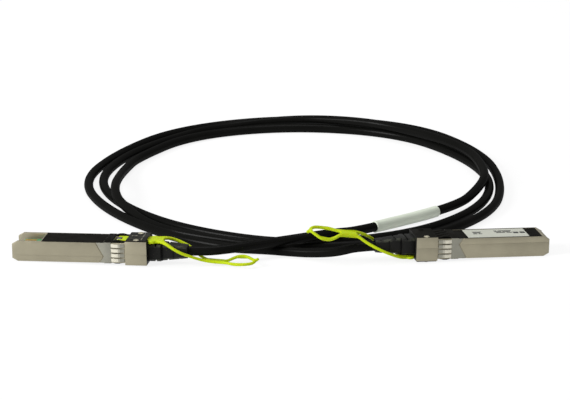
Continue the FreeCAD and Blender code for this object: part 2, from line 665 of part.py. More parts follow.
def emi_collar(label):
    """A band round the body with fingers that bulge out on all four sides and point at the rear block.

    Each side of the band reaches forward above and below the side panel's arrow end.
    """
    middle = s.body_height / 2
    sheet = s.sheet_thickness
    outer = boxes(f"{label}_outside", [(collar_front, -half_body - sheet, -sheet)], s.collar_band,
                  s.body_width + 2 * sheet, s.body_height + 2 * sheet)
    inner = boxes(f"{label}_inside", [(collar_front, -half_body, size(0))], s.collar_band,
                  s.body_width, s.body_height)
    band = doc.addObject("Part::Cut", f"{label}_band")
    band.Base, band.Tool = outer, inner
    parts = [band]
    notched = [(panel_latch_end + s.panel_gap, s.body_height), (collar_front, s.front_seam),
               (panel_label_end + s.panel_gap, size(0)), (collar_front + sheet, size(0)),
               (collar_front + sheet, s.body_height)]
    for start, name in ((-half_body - sheet, "near"), (half_body, "far")):
        parts.append(strip(f"{label}_{name}_notch", "XZ", notched, sheet, start))
    for side, name in ((-1, "near"), (1, "far")):
        for number in range(4):
            start = middle + (number - 1.5) * s.finger_pitch - s.finger_width / 2
            parts.append(strip(f"{label}_{name}_{number + 1}", "XY", finger_profile(side * half_body, side),
                               s.finger_width, start))
    for number in range(4):
        start = (number - 1.5) * s.broad_finger_pitch - s.broad_finger_width / 2
        parts.append(strip(f"{label}_label_{number + 1}", "XZ", finger_profile(size(0), -1),
                           s.broad_finger_width, start))
    for number in (0, 3):
        start = (number - 1.5) * s.broad_finger_pitch * 1.12 - s.broad_finger_width / 2
        parts.append(strip(f"{label}_latch_{number + 1}", "XZ", finger_profile(s.body_height, 1),
                           s.broad_finger_width, start))
    collar = doc.addObject("Part::MultiFuse", label)
    collar.Label = label
    collar.Shapes = parts
    collar.Refine = True
    return collar


# ---- the latch


def latch_pawl(label):
    """The rocking latch: boss, arm, the ramp that the slider's nose presses on, and its eye."""
    piece = Piece(label)
    boss_end = boss_front + s.boss_length
    ramp_end = ramp_front + s.ramp_length
    eye_front = pivot_along - s.eye_radius
    piece.pad("arm", "XZ",
              ((boss_front, s.arm_bottom), (boss_front + 1.15 * s.boss_length, s.arm_bottom),
               (channel_step - s.eye_radius / 4, s.arm_rear_bottom), (pivot_along, s.arm_rear_bottom),
               (pivot_along, s.pivot_up + s.eye_radius), (eye_front, s.arm_top + s.ramp_rise),
               (ramp_end, s.arm_top + s.ramp_rise), (ramp_front, s.arm_top), (boss_end, s.arm_top),
               (boss_end, boss_top), (boss_front + s.boss_length / 2, boss_top),
               (boss_front, s.body_height - s.boss_height)), s.pawl_width, centred=True)
    piece.pad_round("eye", "XZ", [(pivot_along, s.pivot_up)], s.eye_radius, s.pawl_width, centred=True)
    piece.cut_round("pin_hole", "XZ", [(pivot_along, s.pivot_up)], s.pin_radius + s.running_gap,
                    s.pawl_width, centred=True)
    return piece.body


def latch_pin(label):
    piece = Piece(label)
    piece.pad_round("shaft", "XZ", [(pivot_along, s.pivot_up)], s.pin_radius, s.pin_length, centred=True)
    return piece.body


def latch_spring(label):
    """A bent leaf between the channel's floor and the latch's arm."""
    piece = Piece(label)
    thick = s.spring_thickness
    foot = channel_step - s.fit_gap
    bend = foot - s.boss_length / 2
    tip = boss_front + s.boss_length / 2
    floor = s.channel_front_floor
    touch = s.arm_bottom - s.fit_gap
    piece.pad("leaf", "XZ",
              ((foot, floor), (bend, floor), (tip, touch - thick), (boss_front, touch - thick),
               (boss_front, touch), (tip, touch), (bend, floor + thick), (foot, floor + thick)),
              s.spring_width, centred=True)
    return piece.body


def latch_cover(label):
    """The stamped plate over the channel, with two pressed ribs across it."""
    piece = Piece(label)
    front = s.stop_face + s.cover_inset
    rear = rear_face - s.cover_inset
    width = s.block_width - 2 * s.cover_inset
    piece.pad("plate", "XZ", rectangle(front, rear, block_top, cover_top), width, centred=True)
    half = s.rib_width / 2
    rib_top = cover_top + s.rib_height
    for name, middle in (("front", (front + rivet_along) / 2), ("rear", (rear + rivet_along) / 2)):
        piece.pad(f"{name}_rib", "XZ",
                  ((middle - half, cover_top), (middle + half, cover_top), (middle + half / 2, rib_top),
                   (middle - half / 2, rib_top)), width * 0.8, centred=True)
    piece.cut_round("rivet_holes", "XY", [(rivet_along, rivet_across), (rivet_along, -rivet_across)],
                    s.rivet_radius + s.fit_gap, s.cover_thickness, start=block_top)
    return piece.body


def shell_rivets(label):
    """Two rivets through the cover plate and both shells."""
    made = []
    for number, side in enumerate((-1, 1), start=1):
        rivet = Piece(f"{label}_{number}")
        place = [(rivet_along, side * rivet_across)]
        low, high = -s.block_drop, cover_top
        rivet.pad_round("shank", "XY", place, s.rivet_radius, high - low, start=low)
        rivet.pad_round("foot", "XY", place, s.rivet_head_radius, s.rivet_head, start=low - s.rivet_head)
        rivet.pad_round("head", "XY", place, s.rivet_head_radius, s.rivet_head, start=high)
        made.append(rivet.body)
    group = doc.addObject("Part::Compound", label)
    group.Label = label
    group.Links = made
    return group


# ---- the films and the label


def plate(label, front, rear, width, bottom, thickness):
    piece = Piece(label)
    piece.pad("sheet", "XZ", rectangle(front, rear, bottom, bottom + thickness), width, centred=True)
    return piece.body


def label_film(label):
    return plate(label, s.film_front, film_rear, s.film_width, s.film_thickness, s.film_thickness)


def white_label(label):
    return plate(label, s.label_front, s.label_front + s.label_length, s.label_width, size(0),
                 s.film_thickness)


def roof_film(label):
    return plate(label, s.roof_film_front, film_rear, s.film_width, s.body_height - s.film_thickness,
                 s.film_thickness)


# ---- the pull tab


def line(start, end):
    return Part.LineSegment(start, end).toShape()


def rounded_path(points):
    """Straight runs joined by tangent arcs, each as large as its two runs allow, and the arcs' radii."""
    edges, radii = [], []
    start = points[0]
    for before, corner, after in zip(points, points[1:], points[2:]):
        back, on = before - corner, after - corner
        reach = 0.45 * min(back.Length, on.Length)
        back.normalize()
        on.normalize()
        half_turn = (math.pi - back.getAngle(on)) / 2
        radius = reach / math.tan(half_turn)
        inward = (back + on).normalize()
        arc = Part.Arc(corner + back * reach,
                       corner + inward * (radius / math.cos(half_turn) - radius),
                       corner + on * reach)
        edges.append(line(start, corner + back * reach))
        edges.append(arc.toShape())
        radii.append(radius)
        start = corner + on * reach
    edges.append(line(start, points[-1]))
    return edges, radii


def face_between(one, other):
    """The plane face between two rounded paths, closed by a straight edge at each end."""
    edges = rounded_path(one)[0] + rounded_path(other)[0]
    for start, end in zip((one[0], one[-1]), (other[0], other[-1])):
        if (end - start).Length > 1e-6:
            edges.append(line(start, end))
    return Part.Face(Part.Wire(Part.__sortEdges__(edges)))


def ring_prism(outline, level, height):
    """A prism of a plane outline that is symmetric about the X axis, from its far half."""
    far = [Vector(u, v, level) for u, v in outline]
    near = [Vector(u, -v, level) for u, v in outline]
    return face_between(far, near).extrude(Vector(0, 0, height))


def strap_shape(band_drop, loop_drop):
    """The strap behind the plug: neck, two legs, the joined band, the finger loop and its nib.

    Its plan is cut from a sheet, and its side view is a ribbon that dips past the boot. The strap is
    soft, so it lies in its own way at each end of the cable.
    """
    rear = rear_face.value
    strand = s.strap_width.value
    half_neck = s.slider_width.value / 2
    leg = s.leg_spread.value
    band = s.band_width.value / 2
    loop = s.loop_width.value / 2
    neck, join = rear + s.neck_end.value, rear + s.band_start.value
    split, end = rear + s.band_end.value, rear + s.loop_end.value
    leg_long, loop_long = join - neck, end - split
    outside = [
        (rear, half_neck), (neck, half_neck + strand / 2), (neck + 0.25 * leg_long, leg + strand / 2),
        (neck + 0.6 * leg_long, leg), (join, band), (split, band),
        (split + 0.3 * loop_long, loop * 0.86), (split + 0.68 * loop_long, loop), (end, loop * 0.3),
    ]
    between_legs = [
        (neck + strand, 0), (neck + 1.2 * strand, half_neck - strand / 2),
        (neck + 0.28 * leg_long, leg - strand / 2), (neck + 0.6 * leg_long, leg - strand),
        (join - strand, band - strand), (join, 0),
    ]
    finger_hole = [
        (split, 0), (split + strand / 2, band - strand), (split + 0.33 * loop_long, loop * 0.86 - strand),
        (split + 0.66 * loop_long, loop - strand), (end - strand, loop * 0.3), (end - strand, 0),
    ]
    low, tall = -20.0, 40.0
    plan = ring_prism(outside, low, tall)
    for hole in (between_legs, finger_hole):
        plan = plan.cut(ring_prism(hole, low, tall))
    nib = Part.makeBox(s.nib_length.value + strand, strand, tall, Vector(end - strand, -strand / 2, low))
    plan = plan.fuse(nib)

    thick = s.strap_thickness.value
    top = s.slider_bottom.value + s.slider_thickness.value
    dip = s.cable_axis.value - band_drop.value
    slope = (top - dip) / leg_long
    middle = [
        (rear, top - thick / 2), (neck, top - thick / 2), (neck + 0.35 * leg_long, 0.78 * top),
        (neck + 0.72 * leg_long, dip + 0.22 * leg_long * slope), (join, dip),
        (split, dip - 0.1 * loop_drop.value), (split + 0.5 * loop_long, dip - 0.45 * loop_drop.value),
        (end + s.nib_length.value, dip - loop_drop.value),
    ]
    wide = 2 * (loop + leg)
    upper, lower = ([Vector(u, -wide / 2, v + shift) for u, v in middle] for shift in (thick / 2, -thick / 2))
    ribbon = face_between(upper, lower).extrude(Vector(0, wide, 0))
    return ribbon.common(plan)


STRAP_DROPS = {"a": (s.band_drop_a, s.loop_drop_a), "b": (s.band_drop_b, s.loop_drop_b)}


def pull_tab(label):
    """The slider with its horns, nose and window, and the strap, as one moulding."""
    piece = Piece(f"{label}_slider")
    half = s.slider_width / 2
    rail_top = s.slider_bottom + s.slider_thickness
    window_front = ramp_front
    piece.pad("rails", "XY",
              ((horn_front, -half), (rear_face, -half), (rear_face, half), (horn_front, half),
               (horn_front, s.rail_inside), (nose_front, s.rail_inside), (nose_front, -s.rail_inside),
               (horn_front, -s.rail_inside)), s.slider_thickness, start=s.slider_bottom)
    piece.cut("window", "XY", rectangle(window_front, window_end, -s.rail_inside, s.rail_inside),
              s.slider_thickness, start=s.slider_bottom)
    piece.pad("nose", "XZ", rectangle(nose_front, window_front, s.nose_bottom, rail_top),
              2 * s.rail_inside, centred=True)
    strap = doc.addObject("Part::Feature", f"{label}_strap")
    strap.Shape = strap_shape(*STRAP_DROPS[label[-1]])
    tab = doc.addObject("Part::Fuse", label)
    tab.Label = label
    tab.Base, tab.Tool = piece.body, strap
    return tab


# ---- the cable


def route(plug_a, plug_b):
    """The points that the cable's axis follows, from the ferrule of plug a to that of plug b."""
    axis = s.cable_axis.value
    start, end = ferrule_front.value, rear_face.value + s.exit_run.value
    points = [plug_a.multVec(Vector(start, 0, axis)), plug_a.multVec(Vector(end, 0, axis))]
    points += [Vector(*point) for point in LEAD_FROM_A]
    for turn in TURNS:
        for degrees, radius, height in turn:
            angle = math.radians(degrees)
            points.append(Vector(s.coil_x.value + radius * math.cos(angle),
                                 s.coil_y.value + radius * math.sin(angle), height))
    points += [Vector(*point) for point in LEAD_TO_B]
    points += [plug_b.multVec(Vector(end, 0, axis)), plug_b.multVec(Vector(start, 0, axis))]
    return points


def swept(edges, radius):
    """A round rod along a chain of edges."""
    path = Part.Wire(edges)
    first = edges[0]
    across = first.tangentAt(first.FirstParameter)
    circle = Part.makeCircle(radius, first.valueAt(first.FirstParameter), across)
    return path.makePipeShell([Part.Wire([circle])], True, False)


def cable_rod(label, plug_a, plug_b):
    """The cable: one rod along its whole route."""
    edges, radii = rounded_path(route(plug_a, plug_b))
    length = sum(edge.Length for edge in edges)
    radius = cable_radius.value
    cable = doc.addObject("Part::Feature", label)
    cable.Label = label
    cable.Shape = swept(edges, radius)
    print("cable arcs' radii:", " ".join(f"{r:.0f}" for r in radii), " smallest", round(min(radii), 1))
    print("cable length", round(length, 1), "volume over section times length",
          round(cable.Shape.Volume / (math.pi * radius ** 2 * length), 5))
    return cable


def label_sleeve(label):
    """The sleeve, in the middle of the straight run before the coil."""
    start, end = (Vector(*point) for point in LEAD_FROM_A[-2:])
    run = end - start
    sleeve = tube(label, cable_bore + s.sleeve_wall, cable_bore, s.sleeve_length)
    middle = (start + end) * 0.5
    half = run.normalize() * (s.sleeve_length.value / 2)
    sleeve.Placement = Placement(middle - half, Rotation(Vector(0, 0, 1), run))
    return sleeve


# ---- how the plugs lie


def tilt(proud, rest):
    """The angle at which a plug lies on its nose and its rivets, which stand proud of that face."""
    furthest = rivet_along.value + s.rivet_head_radius.value
    return math.degrees(math.atan2(proud, furthest - rest))


def lying(heading, turned_over):
    """Where a plug lies: on its label face, or turned over on its latch face."""
    if turned_over:
        face = s.body_height.value
        proud = (cover_top + s.rivet_head).value - face
    else:
        face = 0.0
        proud = (s.block_drop + s.rivet_head).value
    slope = tilt(proud, s.nose_chamfer_long.value)
    over = 180 + slope if turned_over else -slope
    rotation = Rotation(Vector(0, 0, 1), heading).multiply(Rotation(Vector(0, 1, 0), over))
    return rotation, face


def placed(x, y, heading, turned_over):
    """The placement that puts a plug's rear at x and y, with its nose's edge on the surface."""
    rotation, face = lying(heading, turned_over)
    rear = rotation.multVec(Vector(rear_face.value, 0, face))
    nose = rotation.multVec(Vector(s.nose_chamfer_long.value, 0, face))
    return Placement(Vector(x.value - rear.x, y.value - rear.y, -nose.z), rotation)


PLUG_PIECES = {
    "bottom_shell": bottom_shell,
    "top_shell": top_shell,
    "emi_collar": emi_collar,
    "paddle_card": paddle_card,
    "contact_pads": contact_pads,
    "eeprom_chip": eeprom_chip,
    "capacitors": capacitors,
    "signal_wires": signal_wires,
    "crimp_ferrule": crimp_ferrule,
    "cable_boot": cable_boot,
    "latch_pawl": latch_pawl,
    "latch_pin": latch_pin,
    "latch_spring": latch_spring,
    "latch_cover": latch_cover,
    "shell_rivets": shell_rivets,
    "label_film": label_film,
    "white_label": white_label,
    "roof_film": roof_film,
    "pull_tab": pull_tab,
}


def build():
    plugs = {
        "a": placed(s.plug_a_x, s.plug_a_y, s.plug_a_turn.value, turned_over=False),
        "b": placed(s.plug_b_x, s.plug_b_y, s.plug_b_turn.value, turned_over=True),
    }
    nodes = {}
    for end, place in plugs.items():
        for name, make in PLUG_PIECES.items():
            piece = make(f"{name}_{end}")
            piece.Placement = place
            nodes[piece.Label] = piece
    nodes["cable"] = cable_rod("cable", plugs["a"], plugs["b"])
    nodes["label_sleeve"] = label_sleeve("label_sleeve")
    doc.recompute()
    return nodes


def check(nodes):
    """Stops if a feature failed, a pocket cut nothing, or a sub-part isn't a valid solid."""
    for feature in doc.Objects:
        if {"Invalid", "Error"} & set(feature.State):
            raise RuntimeError(f"{feature.Label} failed: {feature.State}")
        if feature.TypeId == "PartDesign::Pocket":
            if feature.BaseFeature.Shape.Volume - feature.Shape.Volume < 1e-4:
                raise RuntimeError(f"{feature.Label} cuts nothing")
    for label, piece in nodes.items():
        if piece.Shape.isNull() or not piece.Shape.isValid() or not piece.Shape.Solids:
            raise RuntimeError(f"{label} isn't a valid solid")


def write(nodes):
    os.makedirs("parts", exist_ok=True)
    for label, piece in nodes.items():
        piece.Shape.exportStep(f"parts/{label}.step")


pieces = build()
check(pieces)
write(pieces)
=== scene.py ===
"""The looks of a direct attach copper cable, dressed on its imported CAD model.

The scene is in metres in the row frame, and most sizes are named in millimetres. Each plug has a frame of its
own, worked out from its two joints: X from its mating end to its rear, Y across it, Z from its label face to
its latch face.
"""

import json
import math

import bmesh
import bpy
from mathutils import Matrix, Vector, noise


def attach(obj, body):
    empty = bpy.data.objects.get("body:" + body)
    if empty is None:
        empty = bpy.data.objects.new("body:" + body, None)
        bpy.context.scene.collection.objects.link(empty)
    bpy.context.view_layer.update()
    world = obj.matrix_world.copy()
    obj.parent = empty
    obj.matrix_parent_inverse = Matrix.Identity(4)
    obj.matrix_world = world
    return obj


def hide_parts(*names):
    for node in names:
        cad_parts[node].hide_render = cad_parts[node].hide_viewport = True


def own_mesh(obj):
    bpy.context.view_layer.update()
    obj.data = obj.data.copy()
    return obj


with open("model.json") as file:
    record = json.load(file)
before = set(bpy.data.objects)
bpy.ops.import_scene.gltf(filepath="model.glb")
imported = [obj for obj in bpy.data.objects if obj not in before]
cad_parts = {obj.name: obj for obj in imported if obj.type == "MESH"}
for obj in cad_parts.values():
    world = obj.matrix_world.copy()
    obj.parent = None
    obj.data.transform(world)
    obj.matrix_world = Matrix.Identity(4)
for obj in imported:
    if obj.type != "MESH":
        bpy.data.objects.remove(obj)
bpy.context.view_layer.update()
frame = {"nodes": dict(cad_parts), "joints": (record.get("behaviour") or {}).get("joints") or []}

MM = 0.001
MICRON = 0.000001
ENDS = ("a", "b")
ROOT = "plugs"

# A plug, in millimetres in its own frame. These repeat the sizes of the CAD model.
PIVOT = (53.5, 0.0, 7.45)
REAR = 56.5
STOP_FACE = 47.5
CABLE_AXIS = 3.8
FERRULE_FRONT = 50.0
EXIT_RUN = 22.0
BODY_HEIGHT = 8.5
BLOCK_DROP = 0.8
COVER_TOP = 9.55
LABEL_FILM_FRONT = 3.0
ROOF_FILM_FRONT = 12.4
RIVET_ALONG = 52.0
RIVET_ACROSS = 5.3
RIVET_RADIUS = 0.85
RIVET_HEAD_RADIUS = 1.25
RIVET_HEAD = 0.4
STRAP_THICK = 1.1

# Along the plug, where the painted highlight on the collar's side fingers starts, where it turns to a paler
# painted highlight and where it ends at the fingers' dull tails.
FINGER_HIGHLIGHT_FRONT = 41.7
HALF_LIGHT_FRONT = 44.6
HALF_LIGHT_END = 45.4

# The cable, in millimetres. A point of a turn has its angle round the coil's middle in degrees, its distance
# from there and its height. The steps are those of the curve from one point to the next.
CABLE_DIAMETER = 4.0
CABLE_STEPS = 16
MEASURE_STEPS = 64
COIL_MIDDLE = (5.6, 111.1)
LEAD_FROM_A = (
    (-22.4, -7.5, 6.1), (-10.9, -1.8, 6.3), (4.0, 6.0, 6.3), (21.5, 12.6, 7.2), (32.8, 31.7, 2.5),
    (75.6, 69.6, 2.5),
)
TURNS = (
    (
        (-15, 82.9, 4.8), (0, 85.2, 6.5), (30, 89.7, 6.3), (60, 93.3, 6.2), (75, 94.9, 6.4),
        (90, 101.4, 4.4), (105, 102.5, 2.2), (120, 97.3, 2.0), (150, 88.9, 2.0), (180, 86.9, 2.0),
        (210, 84.5, 2.0), (240, 89.4, 2.0),
    ),
    (
        (-90, 99.3, 2.0), (-60, 97.4, 2.0), (-30, 91.6, 2.0), (0, 88.2, 2.0), (30, 88.2, 2.0),
        (60, 97.4, 2.0), (90, 97.5, 2.0), (120, 94.0, 2.0), (150, 81.5, 2.0), (165, 77.9, 2.2),
        (180.7, 77.2, 4.4), (194.5, 80.5, 6.5), (203.7, 84.5, 6.7), (210.5, 87.0, 5.3), (225, 91.0, 2.2),
        (240, 96.2, 2.0),
    ),
    (
        (-90, 104.9, 2.0), (-60, 106.4, 2.0), (-30, 98.9, 2.0), (0, 91.9, 2.0), (30, 98.4, 2.0),
        (60, 112.7, 2.0), (90, 112.6, 2.0), (120, 106.2, 2.0), (150, 93.3, 2.0), (180, 93.6, 2.0),
        (210, 93.2, 2.0), (240, 101.5, 2.0), (255, 106.6, 2.0),
    ),
)
LEAD_TO_B = ((-6.4, 5.9, 2.0), (4.3, 2.3, 2.1), (12.6, -1.4, 2.7), (23.0, -4.9, 4.1))

# The sleeve, in millimetres. It lies halfway between the last two points of the lead from plug A, shifted
# back towards that plug. The seam's angle and spread are in radians, and WAVES are the waves in a metre.
SLEEVE_LENGTH = 37.2
SLEEVE_CLEAR = 0.03
SLEEVE_WALL = 0.45
SLEEVE_SHIFT = 1.5
SLEEVE_RIM = 0.12
SEAM_LIFT = 0.06
SEAM_ANGLE = 4.1
SEAM_SPREAD = 0.22
WAVE_LIFT = 0.05
WAVE_REST = 0.2
WAVES = 150
SLEEVE_SIDES = 64

# How each soft strap lies: along the plug, height of its middle, and its slope across. The lay is averaged
# over STRAP_SPREAD and worked out every STRAP_STEP.
STRAP_LAY = {
    "a": (
        (55.0, 8.25, 0.0), (58.2, 8.3, 0.0), (61.5, 8.5, 0.0), (64.0, 8.1, 0.0), (67.0, 6.7, 0.05),
        (70.0, 5.1, 0.10), (73.3, 3.7, 0.12), (76.0, 1.8, 0.0), (79.4, 0.25, -0.1), (83.0, -0.4, -0.12),
        (88.0, -0.55, -0.1), (91.5, 0.1, 0.23), (95.0, 0.5, 0.25), (98.3, 0.1, 0.14), (100.2, -0.3, 0.05),
        (101.3, 0.1, 0.0), (102.4, 2.4, 0.0),
    ),
    "b": (
        (55.0, 8.25, 0.0), (58.3, 8.5, 0.0), (61.3, 8.75, 0.0), (65.2, 7.1, 0.0), (69.4, 5.1, -0.05),
        (73.5, 2.5, -0.2), (77.5, 0.3, -0.4), (80.7, -1.5, -0.3), (83.5, -1.7, -0.24), (87.0, -2.0, -0.2),
        (91.0, -1.6, -0.5), (95.0, -1.9, -0.43), (97.0, -2.6, -0.4), (99.5, -3.6, -0.3),
        (100.6, -3.7, -0.1), (101.4, -3.0, 0.0), (102.6, -1.2, 0.0),
    ),
}
STRAP_SPREAD = (-1.6, -0.8, 0.0, 0.8, 1.6)
STRAP_STEP = 0.25

# The strap laid flat, in millimetres along and across the plug. Each is half of a mirrored outline: of the
# whole strap, of the opening between its legs and of the eye of its loop. STRAP_EDGE rounds its edges.
HALF_NECK = 3.1
STRAP_OUTLINE = (
    (STOP_FACE + 8.4, HALF_NECK), (REAR + 0.1, HALF_NECK), (REAR + 0.3, HALF_NECK + 0.7),
    (REAR + 0.4, HALF_NECK + 1.5), (59.0, HALF_NECK + 1.5), (59.5, HALF_NECK + 0.2),
    (61.5, HALF_NECK + 0.6), (66.4, 6.1), (73.2, 5.6), (79.0, 3.2), (83.2, 1.9), (89.5, 1.9),
    (93.5, 3.7), (98.7, 4.3), (102.6, 2.2), (103.0, 0.7), (104.4, 0.5),
)
STRAP_OPENING = ((62.7, 0), (62.9, 2.5), (67.0, 5.0), (73.2, 4.5), (79.0, 2.1), (82.4, 1.0), (83.3, 0))
STRAP_EYE = ((89.5, 0), (90.1, 1.0), (94.0, 2.5), (98.4, 3.1), (101.8, 1.3), (101.8, 0))
STRAP_EDGE = 0.32

# The marks on the label, in millimetres: start along the plug, middle across it, length and height. INK is
# their thickness.
BAR = 0.9
SQUARE = 2.2
LABEL_MARKS = (
    (27.2, 2.0, 3.8, BAR), (27.8, 0.7, 3.0, BAR), (27.2, -0.6, 1.5, BAR), (29.4, -0.6, 1.6, BAR),
    (14.2, 3.0, 5.6, BAR), (20.4, 3.0, 1.2, BAR), (14.8, 1.7, 3.2, BAR), (18.6, 1.7, 2.8, BAR),
    (14.2, 0.4, 2.4, BAR), (17.2, 0.4, 3.8, BAR),
    (11.7, 0.0, SQUARE, SQUARE), (8.9, 0.0, SQUARE, SQUARE),
)
INK = 0.012

# The short bead on the latch's cover, in millimetres in the plug's frame. A ring has shares of its height and
# of its width.
BEAD_FRONT = 48.9
BEAD_REAR = 51.6
BEAD_ACROSS = 1.2
BEAD_HALF_WIDTH = 0.35
BEAD_HEIGHT = 0.14
BEAD_SUNK = 0.02
BEAD_SIDES = 24

BEAD_RINGS = ((0.0, 1.0), (0.6, 0.8), (1.0, 0.35))

# A rivet's turned shape: the points round it, and where its dome has rings, as shares of the head's radius.
RIVET_SIDES = 32
DOME_RINGS = (0.35, 0.6, 0.8, 0.93)

# How copied solids are softened: in metres what counts as one point, in radians what counts as flat and as a
# hard edge, and in millimetres how far the edges of each CAD node are rounded.
WELD = MICRON
FLAT_ANGLE = math.radians(1.5)
HARD_ANGLE = math.radians(28)
EDGE_RADIUS = {
    "bottom_shell": 0.16, "top_shell": 0.16, "emi_collar": 0.05, "cable_boot": 0.3, "latch_cover": 0.1,
    "latch_pawl": 0.06, "pull_tab": 0.12,
}

# Where the paint changes, in millimetres: within TOUCH of a face, within RIM of one with a rounded edge, and
# on what stands HIGHLIGHT_HEIGHT above the cover, which gets a painted highlight.
TOUCH = 0.02
RIM = 0.15
HIGHLIGHT_HEIGHT = 0.08

# The studio, in metres. A lamp has its name, place, width and power.
WHITE = (1, 1, 1, 1)
PAPER = (0.93, 0.93, 0.93, 1)
FLOOR_WIDTH = 8
FLOOR_PLACE = (0, 1.0, -0.00005)
FLOOR_WHITENESS = 0.85
SURROUND_LIGHT = 0.42
LAMPS = (
    ("key", (-1.35, -0.55, 0.8), 0.6, 30.0),
    ("fill", (0.9, -0.5, 0.9), 0.8, 0.8),
    ("top", (0.0, 0.4, 1.5), 0.9, 9.0),
)
LAMP_AIM = (0, 0.08, 0)

# The camera. Its target and distance are in metres, its elevation in degrees and its lens in millimetres.
CAMERA_TARGET = (0.0016, 0.0891, 0)
CAMERA_DISTANCE = 1.741
CAMERA_ELEVATION = 15.694
CAMERA_LENS = 252.6
CAMERA_SENSOR = 36.0


# ---- the plugs' frames


def plug_frame(end):
    """The matrix from a plug's own frame, in metres, to the row frame."""
    joints = {joint["name"]: joint for joint in frame["joints"]}
    along = Vector(joints[f"pull_{end}"]["axis"]).normalized()
    across = -Vector(joints[f"latch_{end}"]["axis"]).normalized()
    up = along.cross(across)
    turn = Matrix((along, across, up)).transposed()
    origin = Vector(joints[f"latch_{end}"]["pos_m"]) - turn @ (Vector(PIVOT) * MM)
    return Matrix.Translation(origin) @ turn.to_4x4()


PLUGS = {end: plug_frame(end) for end in ENDS}


def at(end, x, y, z):
    """The point of the row frame at a place, in millimetres, in a plug's frame."""
    return PLUGS[end] @ (Vector((x, y, z)) * MM)


# ---- materials


class Material:
    """A procedural material: a Principled shader, and short calls that add detail to it."""

    def __init__(self, name, color, roughness, **sockets):
        self.material = bpy.data.materials.new(name)
        self.material.use_nodes = True
        self.tree = self.material.node_tree
        self.shader = self.tree.nodes["Principled BSDF"]
        self.shader.inputs["Base Color"].default_value = (*color, 1)
        self.shader.inputs["Roughness"].default_value = roughness
        for socket, value in sockets.items():
            title = socket.replace("_", " ").title().replace("Ior", "IOR")
            self.shader.inputs[title].default_value = value
        self.color = color
        self.coordinates = self.node("ShaderNodeTexCoord").outputs["Object"]
        self.normal = None

    def node(self, kind, **values):
        node = self.tree.nodes.new(kind)
        for name, value in values.items():
            setattr(node, name, value)
        return node

    def link(self, out, into):
        self.tree.links.new(out, into)

    def noise(self, scale, detail=3.0, stretch=(1, 1, 1)):
        """Noise with about scale features a metre, stretched along the axes."""
        mapping = self.node("ShaderNodeMapping")
        mapping.inputs["Scale"].default_value = stretch
        self.link(self.coordinates, mapping.inputs["Vector"])
        texture = self.node("ShaderNodeTexNoise")
        texture.inputs["Scale"].default_value = scale
        texture.inputs["Detail"].default_value = detail
        self.link(mapping.outputs["Vector"], texture.inputs["Vector"])
        return texture.outputs["Fac"]

    def remap(self, value, low, high, start=0.3, end=0.7):
        """The part of a noise's range from start to end, spread from low to high."""
        node = self.node("ShaderNodeMapRange")
        node.inputs["From Min"].default_value = start
        node.inputs["From Max"].default_value = end
        node.inputs["To Min"].default_value = low
        node.inputs["To Max"].default_value = high
        self.link(value, node.inputs["Value"])
        return node.outputs["Result"]

    def mottle(self, scale, other, low=0.3, high=0.7, stretch=(1, 1, 1)):
        """Patches of another colour, where the noise runs from low to high."""
        mix = self.node("ShaderNodeMix", data_type="RGBA")
        share = self.remap(self.noise(scale, stretch=stretch), 0.0, 1.0, low, high)
        self.link(share, mix.inputs["Factor"])
        mix.inputs["A"].default_value = (*self.color, 1)
        mix.inputs["B"].default_value = (*other, 1)
        self.link(mix.outputs["Result"], self.shader.inputs["Base Color"])
        return self

    def wear(self, scale, low, high, stretch=(1, 1, 1)):
        """Roughness that wanders between two values."""
        rough = self.remap(self.noise(scale, stretch=stretch), low, high)
        self.link(rough, self.shader.inputs["Roughness"])
        return self

    def bump(self, scale, depth, stretch=(1, 1, 1), detail=3.0):
        """A relief of depth micrometres; several calls add up."""
        bump = self.node("ShaderNodeBump")
        bump.inputs["Distance"].default_value = depth * MICRON
        self.link(self.noise(scale, detail, stretch), bump.inputs["Height"])
        if self.normal:
            self.link(self.normal, bump.inputs["Normal"])
        self.normal = bump.outputs["Normal"]
        self.link(self.normal, self.shader.inputs["Normal"])
        return self


